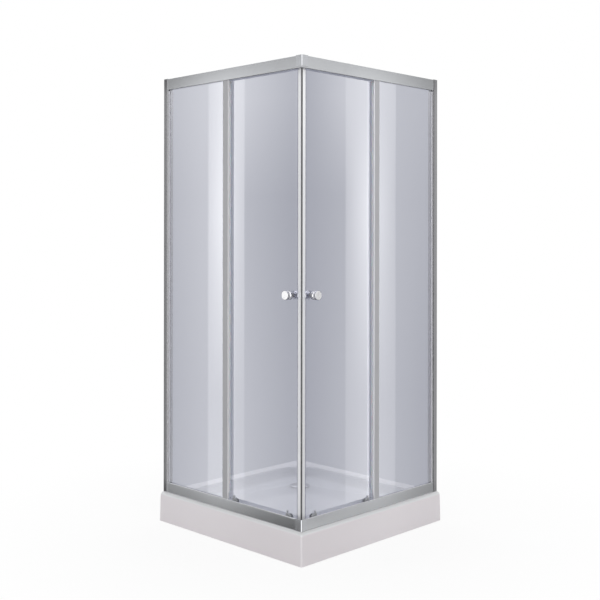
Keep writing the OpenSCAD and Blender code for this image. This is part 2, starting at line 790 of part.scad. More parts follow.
// Clips on the door's leading edge; its slanted nose carries the magnet
module magnet_profile() {
    nose = magnet_w + 0.4;
    web_u = door_u0 - 0.2;
    color("whitesmoke") upright(door_z0 + 2, door_z1 - 2) difference() {
        polygon([[clip_v0 + nose, clip_v0], [door_u0 + 5, clip_v0], [door_u0 + 5, clip_v1],
            [clip_v1 + nose, clip_v1]]);
        rect(web_u, door_u0 + 5 + over, door_v0 - slide_gap, door_v1 + slide_gap);
        polygon([[door_v0 + nose + 1.5, door_v0], [web_u - 1.6, door_v0], [web_u - 1.6, door_v1 - 2]]);
    }
}

module magnet_strip() {
    face = 0.2;
    color("black") upright(door_z0 + 2, door_z1 - 2)
        polygon([[clip_v0 + face, clip_v0], [clip_v0 + magnet_w + 0.3, clip_v0],
            [clip_v1 + magnet_w + 0.3, clip_v1], [clip_v1 + face, clip_v1]]);
}

module rear_seal() {
    lap = 10;
    web_u = door_u1 + 1.8;
    color("gainsboro") upright(bottom_top_z + 3, top_under_z - 2) polygon([[door_u1 - lap, clip_v0],
        [door_u1 + 0.4, clip_v0], [web_u + 1.6, door_v0 - 8], [web_u + 2.6, door_v0 - 7.8],
        [web_u, clip_v0 + 0.6], [web_u, clip_v1], [door_u1 - lap, clip_v1],
        [door_u1 - lap, door_v1 + slide_gap], [door_u1 + 0.2, door_v1 + slide_gap],
        [door_u1 + 0.2, door_v0 - slide_gap], [door_u1 - lap, door_v0 - slide_gap]]);
}

// Outer knob, inner knob and the bolt that draws them together through the glass
module knob() {
    bolt_r = 3;
    face_v = door_v0 - knob_reach;
    drum = knob_reach*0.77;
    edge_r = knob_r*0.1;
    waist_r = knob_r*0.88;
    neck_r = knob_r*0.46;
    inner_r = knob_r - 4;
    inner_v = door_v1 + seat_gap;
    color("gainsboro") {
        difference() {
            about_v(knob_u, knob_z) polygon(concat([[0, face_v]],
                [for (i = [0:4]) [knob_r - edge_r*(1 - sin(90*i/4)), face_v + edge_r*(1 - cos(90*i/4))]],
                [[knob_r, face_v + drum*0.3], [waist_r, face_v + drum*0.38],
                [waist_r, face_v + drum*0.46], [knob_r, face_v + drum*0.58]],
                [for (i = [0:4]) [knob_r - 4*(1 - cos(90*i/4)), face_v + drum - 4*(1 - sin(90*i/4))]],
                [[neck_r, face_v + drum], [neck_r, door_v0 - 2], [neck_r + 1, door_v0 - 1.5],
                [neck_r + 1, door_v0 - seat_gap], [0, door_v0 - seat_gap]]));
            rod_v(knob_u, knob_z, bolt_r + 0.1, door_v0 - 16, door_v0);
        }
        difference() {
            about_v(knob_u, knob_z) polygon([[0, inner_v], [neck_r + 3, inner_v], [neck_r + 3, inner_v + 3],
                [neck_r, inner_v + 5], [neck_r, inner_v + 9], [inner_r - 1, inner_v + 15],
                [inner_r, inner_v + 18], [inner_r, inner_v + 21], [inner_r - 2, inner_v + 23],
                [0, inner_v + 24]]);
            rod_v(knob_u, knob_z, bolt_r + 0.1, inner_v - over, inner_v + 12);
        }
        rod_v(knob_u, knob_z, bolt_r, door_v0 - 15, inner_v + 11);
    }
}

// Axle hubs that reach through the pane, and the cap nuts that clamp them from inside
module hangers() {
    head_v = ridge_v - wheel_w/2 - 0.2;
    hub_r = hanger_hole_r - seat_gap;
    color("silver") for (u = [front_u, rear_u]) {
        about_v(u, axle_z) polygon([[0, head_v - 1.2], [axle_r + 1, head_v - 1.2], [axle_r + 1.5, head_v],
            [axle_r, head_v], [axle_r, housing_v1 - hanger_plate_t],
            [hanger_plate_r, housing_v1 - hanger_plate_t], [hanger_plate_r, housing_v1], [hub_r, housing_v1],
            [hub_r, door_v1], [0, door_v1]]);
        about_v(u, axle_z) polygon([[0, door_v1 + slide_gap], [hanger_cap_r, door_v1 + slide_gap],
            [hanger_cap_r, door_v1 + 3], [hanger_cap_r - 2, door_v1 + 5], [hanger_cap_r - 6, door_v1 + 5.5],
            [hanger_cap_r - 6, door_v1 + 8], [0, door_v1 + 8]]);
    }
}

// A grooved wheel about an axis along V, with its hub drawn in a little between rim and bore
module grooved_wheel(u, z, v_mid, width, r, bore, groove_w) {
    v0 = v_mid - width/2;
    v1 = v_mid + width/2;
    hub = bore + 2;
    rim = r - groove_depth - 1.6;
    about_v(u, z) polygon([[bore, v0], [hub, v0], [hub + 0.4, v0 + 0.8], [rim - 0.4, v0 + 0.8],
        [rim, v0], [r - 0.3, v0], [r, v0 + 0.3], [r, v_mid - groove_w/2 - 0.4],
        [r - groove_depth, v_mid - groove_w/2], [r - groove_depth, v_mid + groove_w/2],
        [r, v_mid + groove_w/2 + 0.4], [r, v1 - 0.3], [r - 0.3, v1], [rim, v1],
        [rim - 0.4, v1 - 0.8], [hub + 0.4, v1 - 0.8], [hub, v1], [bore, v1]]);
}

module top_wheel(u) {
    color("white") grooved_wheel(u, axle_z, ridge_v, wheel_w, wheel_r, axle_r + run_gap, ridge_w + 0.6);
}

module bottom_wheel(u) {
    color("white") grooved_wheel(u, guide_axle_z, guide_v, guide_wheel_w, guide_wheel_r,
        guide_axle_r + run_gap, bead_w + 0.8);
}

// Half width of a release slider, and the places of its button along the housing
slider_w = 8;
nib_u0 = 9.5;
nib_u1 = 13.5;
shoulder_z = housing_z0 + 11.6;
housing_top_z = bottom_top_z + 7;
housing_u0 = -11;
housing_u1 = 15;

// Housings clamped to the pane, each with a pocket for its slider, and their round inner caps
module bottom_housings() {
    inner_cap_r = 9;
    color("slategray") for (u = [front_u, rear_u]) {
        translate([u, 0, 0]) difference() {
            union() {
                along_v(housing_v0, housing_v1) polygon([[housing_u0, housing_z0],
                    [housing_u1, housing_z0], [housing_u1, housing_top_z - 1.5],
                    [housing_u1 - 1.5, housing_top_z], [nib_u0 - 3, housing_top_z],
                    [housing_u0 + 2, bottom_top_z + 0.5], [housing_u0, bottom_top_z - 1.5]]);
                rod_v(boss_u, boss_z, boss_r, housing_v0 + 2, door_v1);
            }
            along_v(slider_v0 - slide_gap, housing_v1 + over)
                rect(-slider_w - 0.4, nib_u1 + 0.4, housing_z0 - over, shoulder_z + 0.4);
            along_v(slider_v0 - slide_gap, housing_v1 + over)
                rect(nib_u0 - 0.4, nib_u1 + 0.4, housing_z0, housing_top_z + over);
        }
        about_v(u + boss_u, boss_z) polygon([[0, door_v1 + slide_gap], [inner_cap_r, door_v1 + slide_gap],
            [inner_cap_r, door_v1 + 2], [inner_cap_r - 1.5, door_v1 + 3.6], [inner_cap_r - 5, door_v1 + 4.4],
            [0, door_v1 + 4.4]]);
    }
}

// The slider carries the bottom wheel's axle below and the release button above
module release(u) {
    foot_z = guide_axle_z - 6;
    button_z = housing_top_z + 10;
    head_v = guide_v - guide_wheel_w/2 - 0.2;
    color("slategray") translate([u, 0, 0]) union() {
        along_v(slider_v0, slider_v1) polygon([[-slider_w + 3, foot_z], [slider_w - 3, foot_z],
            [slider_w, foot_z + 3], [slider_w, housing_z0 + 1.6], [nib_u1, housing_z0 + 1.6],
            [nib_u1, button_z - 1], [nib_u1 - 1, button_z], [nib_u0 + 1, button_z], [nib_u0, button_z - 1],
            [nib_u0, shoulder_z], [-slider_w, shoulder_z], [-slider_w, foot_z + 3]]);
        about_v(0, guide_axle_z) polygon([[0, head_v - 1.2], [guide_axle_r + 0.8, head_v - 1.2],
            [guide_axle_r + 1.2, head_v], [guide_axle_r, head_v], [guide_axle_r, slider_v0 + over],
            [0, slider_v0 + over]]);
    }
}

tray_shell();
base_board();
leg_tubes();
levelling_feet();
foot_pads();
waste_flange();
waste_gasket();
trap_body();
trap_nut();
outlet_pipe();
drain_cover();
on_left() wall_profile();  // left_wall_profile
on_right() wall_profile();  // right_wall_profile
on_left() jamb();  // left_jamb
on_right() jamb();  // right_jamb
on_left() top_rail();  // left_top_rail
on_right() top_rail();  // right_top_rail
on_left() bottom_rail();  // left_bottom_rail
on_right() bottom_rail();  // right_bottom_rail
top_corner_cap();
bottom_corner_cap();
corner_brackets();
rail_end_blocks();
profile_caps();
on_left() fixed_glass();  // left_fixed_glass
on_right() fixed_glass();  // right_fixed_glass
on_left() strip_profile();  // left_strip_profile
on_right() strip_profile();  // right_strip_profile
strip_seals();
glass_gaskets();
rail_stops();
frame_screws();
on_left() door_glass();  // left_door_glass
on_left() magnet_profile();  // left_magnet_profile
on_left() magnet_strip();  // left_magnet_strip
on_left() rear_seal();  // left_rear_seal
on_left() knob();  // left_knob
on_left() hangers();  // left_hangers
on_left() bottom_housings();  // left_bottom_housings
on_left() top_wheel(front_u);  // left_top_wheel_front
on_left() top_wheel(rear_u);  // left_top_wheel_rear
on_left() bottom_wheel(front_u);  // left_bottom_wheel_front
on_left() bottom_wheel(rear_u);  // left_bottom_wheel_rear
on_left() release(front_u);  // left_release_front
on_left() release(rear_u);  // left_release_rear
on_right() door_glass();  // right_door_glass
on_right() magnet_profile();  // right_magnet_profile
on_right() magnet_strip();  // right_magnet_strip
on_right() rear_seal();  // right_rear_seal
on_right() knob();  // right_knob
on_right() hangers();  // right_hangers
on_right() bottom_housings();  // right_bottom_housings
on_right() top_wheel(front_u);  // right_top_wheel_front
on_right() top_wheel(rear_u);  // right_top_wheel_rear
on_right() bottom_wheel(front_u);  // right_bottom_wheel_front
on_right() bottom_wheel(rear_u);  // right_bottom_wheel_rear
on_right() release(front_u);  // right_release_front
on_right() release(rear_u);  // right_release_rear
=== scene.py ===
"""Looks of a square corner shower cabin. The frame comes packed; sizes are in metres, Z is up."""

import math

import bpy
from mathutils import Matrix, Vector


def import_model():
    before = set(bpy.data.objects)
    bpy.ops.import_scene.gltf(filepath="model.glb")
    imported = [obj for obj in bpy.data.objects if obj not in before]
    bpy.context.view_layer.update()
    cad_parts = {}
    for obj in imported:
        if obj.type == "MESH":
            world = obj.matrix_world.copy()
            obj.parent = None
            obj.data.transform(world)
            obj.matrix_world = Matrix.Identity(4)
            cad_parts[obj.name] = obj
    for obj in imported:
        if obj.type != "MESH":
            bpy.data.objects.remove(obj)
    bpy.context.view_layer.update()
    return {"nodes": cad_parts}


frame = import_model()
nodes = frame["nodes"]
MM = 0.001

# The camera was fitted to the photograph: it stands square to the corner, a little under eye height
CAMERA_AT = Vector((3.098, -3.145, 1.284))
CAMERA_YAW = 44.606
CAMERA_ROLL = -0.074
LENS = 58.451
SHIFT_Y = -0.1046

# The panes' tint and mirror strength. The clear part of the magnet profiles has the same.
GLASS = (0.785, 0.797, 0.9)
GLASS_SHINE = {"IOR": 1.85, "Coat_Weight": 1.0, "Coat_IOR": 1.9, "Coat_Roughness": 0.0}


def make_camera():
    data = bpy.data.cameras.new("camera")
    data.lens = LENS
    data.shift_y = SHIFT_Y
    data.clip_end = 100
    camera = bpy.data.objects.new("camera", data)
    camera.location = CAMERA_AT
    camera.rotation_euler = (math.radians(90), math.radians(CAMERA_ROLL), math.radians(CAMERA_YAW))
    bpy.context.scene.collection.objects.link(camera)
    bpy.context.scene.camera = camera


# Node trees


def add(tree, kind, inputs=None, **settings):
    """A new node with its settings. Each input is set to a value or linked to another node's output."""
    node = tree.nodes.new(kind)
    for key, value in settings.items():
        setattr(node, key, value)
    for key, value in (inputs or {}).items():
        if isinstance(value, bpy.types.NodeSocket):
            tree.links.new(value, node.inputs[key])
        else:
            node.inputs[key].default_value = value
    return node


def ramp(tree, factor, stops):
    """A colour ramp. Each stop is a place and a grey or a colour."""
    node = add(tree, "ShaderNodeValToRGB", {"Fac": factor})
    points = node.color_ramp.elements
    while len(points) < len(stops):
        points.new(1)
    for point, (place, value) in zip(points, stops):
        point.position = place
        point.color = (*value, 1) if isinstance(value, tuple) else (value, value, value, 1)
    return node.outputs["Color"]


def spread(tree, factor, low, high):
    """Maps a factor from 0..1 to low..high."""
    return add(tree, "ShaderNodeMapRange", {"Value": factor, "To Min": low, "To Max": high}).outputs["Result"]


def between(tree, value, low, high):
    """How far a value has come from low, which gives 0, to high, which gives 1."""
    inputs = {"Value": value, "From Min": low, "From Max": high}
    return add(tree, "ShaderNodeMapRange", inputs).outputs["Result"]


def own_place(tree):
    """The object's own coordinates."""
    return add(tree, "ShaderNodeTexCoord").outputs["Object"]


def stretched(tree, stretch):
    """The object's own coordinates, multiplied along each axis."""
    return add(tree, "ShaderNodeMapping", {"Vector": own_place(tree), "Scale": stretch}).outputs["Vector"]


def noise(tree, scale, detail=2, stretch=(1, 1, 1)):
    """Noise with scale cells to a metre, and fewer along an axis whose stretch is under 1."""
    inputs = {"Vector": stretched(tree, stretch), "Scale": scale, "Detail": detail}
    return add(tree, "ShaderNodeTexNoise", inputs).outputs["Fac"]


def cells(tree, scale, stretch=(1, 1, 1)):
    """A Voronoi pattern with scale cells to a metre, and fewer along an axis whose stretch is under 1."""
    return add(tree, "ShaderNodeTexVoronoi", {"Vector": stretched(tree, stretch), "Scale": scale})


def mixed(tree, factor, first, second):
    """The first colour where the factor is 0 and the second where it is 1."""
    node = add(tree, "ShaderNodeMix", data_type="RGBA")
    for socket, value in ((node.inputs[0], factor), (node.inputs[6], first), (node.inputs[7], second)):
        if isinstance(value, bpy.types.NodeSocket):
            tree.links.new(value, socket)
        else:
            socket.default_value = (*value, 1) if isinstance(value, tuple) else value
    return node.outputs[2]


def calc(tree, operation, *values):
    """A sum or comparison of numbers and outputs."""
    return add(tree, "ShaderNodeMath", dict(enumerate(values)), operation=operation).outputs[0]


def facing(tree, way, start, end):
    """How far a surface is turned towards a direction: 0 below the first cosine, 1 above the second."""
    normal = add(tree, "ShaderNodeNewGeometry").outputs["Normal"]
    cosine = add(tree, "ShaderNodeVectorMath", {0: normal, 1: way}, operation="DOT_PRODUCT").outputs["Value"]
    return between(tree, cosine, start, end)


class Finish:
    """A material around one Principled shader."""

    def __init__(self, name, colour, roughness, **shine):
        self.material = bpy.data.materials.new(name)
        self.material.use_nodes = True
        self.material.diffuse_color = (*colour, 1)
        self.tree = self.material.node_tree
        self.shader = self.tree.nodes["Principled BSDF"]
        self.set(Base_Color=(*colour, 1), Roughness=roughness, **shine)

    def set(self, **values):
        for key, value in values.items():
            socket = self.shader.inputs[key.replace("_", " ")]
            if isinstance(value, bpy.types.NodeSocket):
                self.tree.links.new(value, socket)
            else:
                socket.default_value = value

    def relief(self, height, distance):
        """Shades the surface as if it rose by distance where the height is 1."""
        bump = add(self.tree, "ShaderNodeBump", {"Height": height, "Distance": distance, "Strength": 1.0})
        self.set(Normal=bump.outputs["Normal"])


# Materials


def acrylic():
    """Glossy white acrylic, with glass fibre and resin on the side that nobody sees.

    The rim's top is painted a little darker than the basin's floor, as painted shade, and the basin's walls
    a little lighter, as painted light; faces that look up and faces that look sideways get differently tinted
    copies.
    """
    made = Finish("white acrylic", (0.81, 0.79, 0.79), 0.2, IOR=1.49)
    tree = made.tree
    under = facing(tree, (0, 0, -1), 0.15, 0.3)
    fibres = noise(tree, 60, 6, (1, 0.15, 1))
    cloud = noise(tree, 3, 3)
    skirt = ramp(tree, cloud, [(0.3, (0.795, 0.755, 0.78)), (0.7, (0.81, 0.77, 0.795))])
    basin = ramp(tree, cloud, [(0.3, (0.79, 0.805, 0.82)), (0.7, (0.81, 0.825, 0.84))])
    # Painted light and shade: the basin's walls are painted lighter against the shade in the basin, and the
    # rim's top darker to dim the light from above.
    basin_wall_painted_lighter = (0.89, 0.9, 0.92)
    rim_top_painted_darker = (0.68, 0.68, 0.695)
    x, y, z = add(tree, "ShaderNodeSeparateXYZ", {"Vector": own_place(tree)}).outputs
    off_centre = calc(tree, "MAXIMUM", calc(tree, "ABSOLUTE", x), calc(tree, "ABSOLUTE", y))
    sides = mixed(tree, between(tree, off_centre, 410 * MM, 430 * MM), basin_wall_painted_lighter, skirt)
    tops = mixed(tree, between(tree, z, 121 * MM, 127 * MM), basin, rim_top_painted_darker)
    tint = mixed(tree, facing(tree, (0, 0, 1), 0.3, 0.6), sides, tops)
    resin = ramp(tree, fibres, [(0.35, (0.55, 0.5, 0.4)), (0.65, (0.75, 0.72, 0.64))])
    made.set(Base_Color=mixed(tree, under, tint, resin),
             Roughness=mixed(tree, under, spread(tree, noise(tree, 14, 3), 0.07, 0.11),
                             spread(tree, fibres, 0.45, 0.8)))
    made.relief(noise(tree, 45, 2), 0.01 * MM)
    return made.material


def aluminium(name, along, colour=(0.46, 0.47, 0.485), roughness=(0.1, 0.16), painted_pale_ways=None):
    """Satin anodised aluminium, with the fine lines that the die draws along each profile.

    Faces that look down or in one of the given directions are painted matt and pale, as painted light where
    the gaps between parts lie in shade, if any directions are given.
    """
    stretch = tuple(0.01 if axis == along else 1 for axis in "xyz")
    made = Finish(name, colour, roughness[0], Metallic=1.0)
    tree = made.tree
    lines = noise(tree, 1400, 3, stretch)
    cloud = noise(tree, 9, 3)
    tone = calc(tree, "ADD", lines, cloud)
    darker = tuple(0.94 * c for c in colour)
    lighter = tuple(1.05 * c for c in colour)
    shade = ramp(tree, spread(tree, tone, 0, 0.5), [(0.35, darker), (0.65, lighter)])
    gloss = spread(tree, lines, *roughness)
    # Painted light: faces that look down or into the cabin, where the gaps lie in shade, are painted matt and
    # pale.
    if painted_pale_ways:
        matt = facing(tree, (0, 0, -1), 0.5, 0.7)
        for way in painted_pale_ways:
            matt = calc(tree, "MAXIMUM", matt, facing(tree, way, 0.5, 0.7))
        shade = mixed(tree, matt, shade, (0.86, 0.86, 0.88))
        gloss = mixed(tree, matt, gloss, spread(tree, lines, 0.45, 0.6))
        made.set(Metallic=calc(tree, "SUBTRACT", 1.0, matt))
    made.set(Base_Color=shade, Roughness=gloss)
    made.relief(lines, 0.0015 * MM)
    return made.material


def chrome(name, colour, roughness):
    """Plated metal, with a little haze where hands and water have been."""
    made = Finish(name, colour, roughness, Metallic=1.0)
    made.set(Roughness=spread(made.tree, noise(made.tree, 160, 4), roughness * 0.6, roughness * 1.6))
    made.relief(noise(made.tree, 120, 2), 0.01 * MM)
    return made.material


def knob_metal(name, axis):
    """Chrome painted dark on its sides to dim their reflections, and near-white and matt, as a painted
    reflection, on the face at each end of the knob's axis.
    """
    made = Finish(name, (0.72, 0.72, 0.74), 0.1, Metallic=1.0)
    tree = made.tree
    ends = calc(tree, "MAXIMUM", facing(tree, axis, 0.9, 0.97),
                facing(tree, tuple(-a for a in axis), 0.9, 0.97))
    haze = noise(tree, 160, 4)
    # Painted shade on the sides, which are painted dark to dim the studio's bright front in them; painted
    # reflection on the near-white ends.
    plated_painted_dark = ramp(tree, haze, [(0.35, (0.28, 0.28, 0.3)), (0.65, (0.55, 0.55, 0.57))])
    ends_painted_bright = (0.96, 0.96, 0.97)
    made.set(Base_Color=mixed(tree, ends, plated_painted_dark, ends_painted_bright),
             Roughness=mixed(tree, ends, spread(tree, haze, 0.06, 0.16), spread(tree, haze, 0.48, 0.56)))
    made.relief(noise(tree, 120, 2), 0.02 * MM)
    return made.material


def brushed(name, colour, roughness):
    """Turned or brushed steel."""
    made = Finish(name, colour, roughness, Metallic=1.0)
    lines = noise(made.tree, 900, 4, (1, 1, 0.05))
    made.set(Roughness=spread(made.tree, lines, roughness * 0.75, roughness * 1.35))
    made.relief(lines, 0.01 * MM)
    return made.material


def galvanised():
    """Zinc coated steel: crystals of slightly different tone and gloss."""
    made = Finish("zinc coated steel", (0.55, 0.56, 0.58), 0.45, Metallic=1.0)
    spangle = cells(made.tree, 130)
    tone = add(made.tree, "ShaderNodeSeparateColor", {"Color": spangle.outputs["Color"]}).outputs["Red"]
    made.set(Base_Color=ramp(made.tree, tone, [(0, (0.44, 0.46, 0.48)), (1, (0.62, 0.63, 0.65))]),
             Roughness=spread(made.tree, tone, 0.38, 0.55))
    return made.material


def pane():
    """Toughened glass, with the faint waves that the furnace's rollers leave."""
    made = Finish("clear glass", GLASS, 0.0, Transmission_Weight=1.0, **GLASS_SHINE)
    made.relief(noise(made.tree, 7, 1, (1, 1, 0.3)), 0.03 * MM)
    return made.material


def moulded(name, colour, roughness):
    """Moulded plastic with a fine spark-eroded grain."""
    made = Finish(name, colour, roughness)
    tree = made.tree
    darker = tuple(0.95 * c for c in colour)
    lighter = tuple(min(1, 1.04 * c) for c in colour)
    made.set(Base_Color=ramp(tree, noise(tree, 30, 3), [(0.3, darker), (0.7, lighter)]),
             Roughness=spread(tree, noise(tree, 80, 3), roughness - 0.06, roughness + 0.08))
    made.relief(noise(tree, 1500, 2), 0.03 * MM)
    return made.material


def seal(name, colour):
    """Soft, slightly milky vinyl."""
    made = Finish(name, colour, 0.3, IOR=1.46, Subsurface_Weight=0.35, Subsurface_Scale=2 * MM)
    made.set(Roughness=spread(made.tree, noise(made.tree, 40, 3), 0.22, 0.4))
    made.relief(noise(made.tree, 500, 2, (1, 1, 0.02)), 0.02 * MM)
    return made.material


def nose_vinyl():
    """Milky vinyl at the corner, clear as glass where the profile laps over the pane."""
    made = Finish("milky vinyl", (0.84, 0.85, 0.88), 0.1, **GLASS_SHINE)
    tree = made.tree
    x, y, _ = add(tree, "ShaderNodeSeparateXYZ", {"Vector": own_place(tree)}).outputs
    off_mitre = calc(tree, "ABSOLUTE", calc(tree, "ADD", x, y))
    lap = between(tree, off_mitre, 19 * MM, 22 * MM)
    streaks = noise(tree, 60, 3, (1, 1, 0.05))
    milk = ramp(tree, streaks, [(0.35, (0.82, 0.83, 0.87)), (0.65, (0.87, 0.88, 0.9))])
    made.set(Base_Color=mixed(tree, lap, milk, GLASS), Transmission_Weight=lap,
             Roughness=mixed(tree, lap, spread(tree, streaks, 0.1, 0.2), (0.0, 0.0, 0.0)))
    return made.material


def rubber(name, colour):
    """Matt rubber with a little dust on it."""
    made = Finish(name, colour, 0.65)
    tree = made.tree
    dust = tuple(c + 0.03 for c in colour)
    made.set(Base_Color=ramp(tree, noise(tree, 60, 5), [(0.4, colour), (0.75, dust)]),
             Roughness=spread(tree, noise(tree, 200, 3), 0.55, 0.8))
    made.relief(noise(tree, 1200, 2), 0.04 * MM)
    return made.material


def chipboard():
    """Pressed wood chips, each with its own tone."""
    made = Finish("chipboard", (0.6, 0.45, 0.29), 0.7)
    tree = made.tree
    chips = cells(tree, 170, (1, 0.45, 1))
    tone = add(tree, "ShaderNodeSeparateColor", {"Color": chips.outputs["Color"]}).outputs["Green"]
    colour = ramp(tree, tone, [(0, (0.36, 0.24, 0.13)), (0.5, (0.6, 0.45, 0.28)), (1, (0.78, 0.64, 0.44))])
    made.set(Base_Color=colour, Roughness=spread(tree, tone, 0.6, 0.85))
    made.relief(chips.outputs["Distance"], 0.3 * MM)
    return made.material


def smoothing_group(degrees):
    """Joins the faces of a node and shades them smooth, apart from edges that turn by more degrees."""
    group = bpy.data.node_groups.new("smooth shading", "GeometryNodeTree")
    group.interface.new_socket("Geometry", in_out="INPUT", socket_type="NodeSocketGeometry")
    group.interface.new_socket("Geometry", in_out="OUTPUT", socket_type="NodeSocketGeometry")
    start = add(group, "NodeGroupInput").outputs[0]
    merged = add(group, "GeometryNodeMergeByDistance", {"Geometry": start, "Distance": 0.001 * MM})
    smooth = add(group, "GeometryNodeSetShadeSmooth", {"Geometry": merged.outputs[0]}, domain="FACE")
    angle = add(group, "GeometryNodeInputMeshEdgeAngle").outputs["Unsigned Angle"]
    sharp = add(group, "FunctionNodeCompare", {"A": angle, "B": math.radians(degrees)},
                operation="GREATER_THAN")
    edged = add(group, "GeometryNodeSetShadeSmooth",
                {"Geometry": smooth.outputs[0], "Selection": sharp.outputs[0], "Shade Smooth": False},
                domain="EDGE")
    add(group, "NodeGroupOutput", {0: edged.outputs[0]})
    return group


def dress(names, material, bevel=0.0, shading=None):
    """Gives CAD nodes their material, smooth shading and, in millimetres, the rounding of their edges."""
    for name in names:
        node = nodes[name]
        node.data.materials.clear()
        node.data.materials.append(material)
        if "custom_normal" in node.data.attributes:
            node.data.attributes.remove(node.data.attributes["custom_normal"])
        node.modifiers.new("smooth", "NODES").node_group = shading or smoothing
        if bevel:
            flat = node.modifiers.new("flat faces", "DECIMATE")
            flat.decimate_type = "DISSOLVE"
            flat.angle_limit = math.radians(0.5)
            edge = node.modifiers.new("edges", "BEVEL")
            edge.width = bevel * MM
            edge.segments = 2
            edge.limit_method = "ANGLE"
            edge.angle_limit = math.radians(35)
            edge.harden_normals = True
        node.modifiers.new("large faces stay flat", "WEIGHTED_NORMAL").keep_sharp = True


def both(*names):
    """The names of the same pieces on the left and the right side."""
    return [f"{side}_{name}" for side in ("left", "right") for name in names]


smoothing = smoothing_group(30)
creasing = smoothing_group(8)
upright_metal = aluminium("anodised aluminium, upright", "z", (0.43, 0.43, 0.445), (0.05, 0.09))
# Painted light: the two strip profiles are the same part, and the right one is painted far paler than the
# left for the light that falls on it.
left_strip_metal = aluminium("anodised aluminium, left strip", "z", (0.42, 0.42, 0.435), (0.42, 0.5),
                             [(0, 1, 0), (1, 0, 0)])
right_strip_metal = aluminium("anodised aluminium, right strip", "z", (0.66, 0.66, 0.685), (0.42, 0.5),
                              [(-1, 0, 0)])
left_metal = aluminium("anodised aluminium, left rails", "x", painted_pale_ways=[(0, 1, 0)])
right_metal = aluminium("anodised aluminium, right rails", "y", painted_pale_ways=[(-1, 0, 0)])
cap_metal = aluminium("anodised aluminium, caps", "z", (0.48, 0.49, 0.51), (0.14, 0.2))
jamb_metal = aluminium("anodised aluminium, jambs", "z", (0.44, 0.44, 0.455), (0.2, 0.3))
steel = brushed("stainless steel", (0.6, 0.6, 0.61), 0.28)
black = rubber("black rubber", (0.022, 0.022, 0.025))
grey = moulded("grey plastic", (0.25, 0.26, 0.28), 0.45)
white = moulded("white nylon", (0.8, 0.8, 0.78), 0.4)
zinc = galvanised()

dress(["tray_shell"], acrylic())
dress(["base_board"], chipboard())
dress(["leg_tubes", "levelling_feet"], zinc, 0.4)
dress(["foot_pads", "waste_gasket", "rail_stops"], black, 0.3)
dress(["waste_flange", "frame_screws"] + both("hangers"), steel)
dress(["drain_cover"], chrome("chrome", (0.5, 0.5, 0.52), 0.25))
dress(["left_knob"], knob_metal("chrome, left knob", (0, 1, 0)))
dress(["right_knob"], knob_metal("chrome, right knob", (1, 0, 0)))
dress(["trap_body", "trap_nut", "outlet_pipe"], moulded("white pipe plastic", (0.8, 0.8, 0.79), 0.35))
dress(both("wall_profile"), upright_metal, 0.35, creasing)
dress(["left_strip_profile"], left_strip_metal, 0.35)
dress(["right_strip_profile"], right_strip_metal, 0.35)
dress(both("jamb"), jamb_metal, 0.35)
dress(["left_top_rail", "left_bottom_rail"], left_metal, 0.35)
dress(["right_top_rail", "right_bottom_rail"], right_metal, 0.35)
dress(["top_corner_cap", "bottom_corner_cap"], cap_metal, 0.4)
dress(["corner_brackets", "rail_end_blocks", "profile_caps"], grey, 0.3)
dress(both("bottom_housings", "release_front", "release_rear"),
      moulded("light grey plastic", (0.42, 0.43, 0.45), 0.45), 0.3)
dress(both("fixed_glass", "door_glass"), pane(), 0.5)
dress(both("magnet_profile"), nose_vinyl(), 0.2)
dress(both("rear_seal") + ["strip_seals"], seal("clear vinyl", (0.7, 0.72, 0.76)))
dress(both("magnet_strip"), rubber("magnet rubber", (0.06, 0.06, 0.065)))
dress(["glass_gaskets"], rubber("gasket rubber", (0.72, 0.72, 0.78)))
dress(both("top_wheel_front", "top_wheel_rear", "bottom_wheel_front", "bottom_wheel_rear"), white)


# Stage and light


def floor():
    """A white floor that keeps the shadow near the cabin and runs out into the background's white."""
    material = bpy.data.materials.new("floor")
    material.use_nodes = True
    tree = material.node_tree
    tree.nodes.clear()
    path = add(tree, "ShaderNodeLightPath")
    where = add(tree, "ShaderNodeNewGeometry").outputs["Position"]
    away = add(tree, "ShaderNodeVectorMath", {0: where}, operation="LENGTH").outputs["Value"]
    shadow = 0.12
    share = add(tree, "ShaderNodeMapRange", {"Value": away, "From Min": 0.7, "From Max": 1.6,
                                            "To Min": shadow, "To Max": 0.0}).outputs["Result"]
    matt = add(tree, "ShaderNodeBsdfDiffuse", {"Color": (0.9, 0.9, 0.9, 1)}).outputs[0]
    bright = add(tree, "ShaderNodeEmission", {"Strength": 1.0}).outputs[0]
    seen = add(tree, "ShaderNodeMixShader", {"Fac": share, 1: bright, 2: matt}).outputs[0]
    clear = add(tree, "ShaderNodeBsdfTransparent").outputs[0]
    shine = calc(tree, "MAXIMUM", path.outputs["Is Glossy Ray"], path.outputs["Is Transmission Ray"])
    other = add(tree, "ShaderNodeMixShader", {"Fac": shine, 1: matt, 2: clear}).outputs[0]
    shown = add(tree, "ShaderNodeMixShader", {"Fac": path.outputs["Is Camera Ray"], 1: other, 2: seen})
    add(tree, "ShaderNodeOutputMaterial", {"Surface": shown.outputs[0]})
    reach = 8
    corners = [(-reach, -reach, 0), (reach, -reach, 0), (reach, reach, 0), (-reach, reach, 0)]
    mesh = bpy.data.meshes.new("floor")
    mesh.from_pydata(corners, [], [(0, 1, 2, 3)])
    mesh.materials.append(material)
    made = bpy.data.objects.new("floor", mesh)
    bpy.context.scene.collection.objects.link(made)


